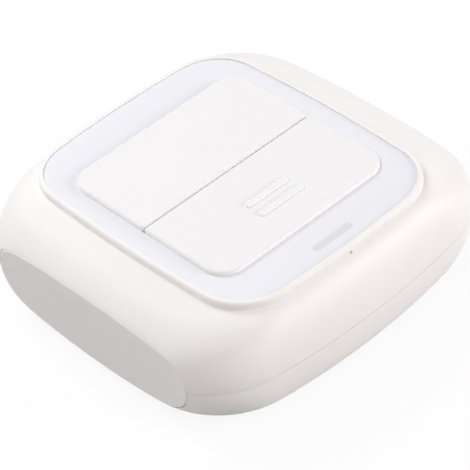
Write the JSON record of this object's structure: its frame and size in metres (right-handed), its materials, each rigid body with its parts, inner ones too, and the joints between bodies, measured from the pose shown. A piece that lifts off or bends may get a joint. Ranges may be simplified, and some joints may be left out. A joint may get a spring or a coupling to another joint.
{
  "type": "smart light switch",
  "caption": "Battery-powered retrofit wall switch with two rocker keys, a rounded pebble case and a geared slider that throws an existing toggle.",
  "frame": {"origin": "centre of the back face, where the part meets the wall", "axes": "+Z out of the wall through the face, +Y up the wall, +X to the right seen from the front"},
  "size_m": [0.086, 0.0856, 0.0284],
  "materials": {
    "body_plastic": "satin",
    "panel_plastic": "matte",
    "key_plastic": "matte",
    "diffuser": "satin",
    "frame_plastic": "matte",
    "gear_plastic": "satin",
    "steel": "brushed",
    "cell_wrap": "gloss",
    "contact_metal": "satin",
    "board_laminate": "satin",
    "chip_plastic": "matte",
    "gear_steel": "satin"
  },
  "bodies": {
    "case": {"front_shell": "body_plastic", "rear_shell": "body_plastic", "battery_cover_left": "body_plastic", "battery_cover_right": "body_plastic", "face_panel": "panel_plastic", "light_window": "diffuser", "aa_cell_left": "cell_wrap", "aa_cell_right": "cell_wrap", "battery_tray_left": "frame_plastic", "battery_tray_right": "frame_plastic", "battery_contacts_left": "contact_metal", "battery_contacts_right": "contact_metal", "middle_frame": "frame_plastic", "main_board": "board_laminate", "upper_key_switch": "chip_plastic", "lower_key_switch": "chip_plastic", "indicator_leds": "diffuser", "radio_module": "steel", "board_chips": "chip_plastic", "gear_motor": "steel", "gear_pins": "steel", "guide_rods": "steel", "case_screws": "steel", "mounting_bracket": "steel"},
    "upper_key": {"upper_key": "key_plastic"},
    "lower_key": {"lower_key": "key_plastic"},
    "upper_plunger": {"upper_switch_plunger": "frame_plastic"},
    "lower_plunger": {"lower_switch_plunger": "frame_plastic"},
    "slider": {"toggle_slider": "gear_plastic"},
    "drive_gear": {"drive_gear": "gear_plastic"},
    "idler_gear": {"idler_gear": "gear_plastic"},
    "motor_pinion": {"motor_shaft": "steel", "motor_pinion": "gear_steel"}
  },
  "joints": [
    {"name": "upper_key_hinge", "type": "hinge", "parent": "case", "child": "upper_key", "pos_m": [0, 0.0224, 0.0242], "axis": [1, 0, 0], "range_deg": [0, 1.3], "stiffness_Nm_per_rad": 0.05, "springref_deg": -2.86},
    {"name": "lower_key_hinge", "type": "hinge", "parent": "case", "child": "lower_key", "pos_m": [0, -0.0224, 0.0242], "axis": [-1, 0, 0], "range_deg": [0, 1.3], "stiffness_Nm_per_rad": 0.05, "springref_deg": -2.86},
    {"name": "upper_plunger_slide", "type": "slide", "parent": "case", "child": "upper_plunger", "axis": [0, 0, -1], "range_m": [0, 0.00026]},
    {"name": "lower_plunger_slide", "type": "slide", "parent": "case", "child": "lower_plunger", "axis": [0, 0, -1], "range_m": [0, 0.00026]},
    {"name": "slider_slide", "type": "slide", "parent": "case", "child": "slider", "axis": [0, 1, 0], "range_m": [-0.008, 0.008]},
    {"name": "drive_gear_spin", "type": "hinge", "parent": "case", "child": "drive_gear", "pos_m": [0.013, 0.006, 0.0133], "axis": [1, 0, 0], "range_deg": [-98, 98]},
    {"name": "idler_gear_spin", "type": "hinge", "parent": "case", "child": "idler_gear", "pos_m": [0.013, 0.018, 0.0133], "axis": [1, 0, 0], "range_deg": [-98, 98]},
    {"name": "motor_pinion_spin", "type": "hinge", "parent": "case", "child": "motor_pinion", "pos_m": [0.013, 0.0276, 0.0133], "axis": [1, 0, 0], "range_deg": [-162, 162]}
  ],
  "couplings": [
    {"joint": "drive_gear_spin", "follows": "slider_slide", "rad_per_m": 208.33},
    {"joint": "idler_gear_spin", "follows": "slider_slide", "rad_per_m": -208.33},
    {"joint": "motor_pinion_spin", "follows": "slider_slide", "rad_per_m": 347.22},
    {"joint": "upper_plunger_slide", "follows": "upper_key_hinge", "m_per_rad": 0.011018},
    {"joint": "lower_plunger_slide", "follows": "lower_key_hinge", "m_per_rad": 0.011018}
  ]
}
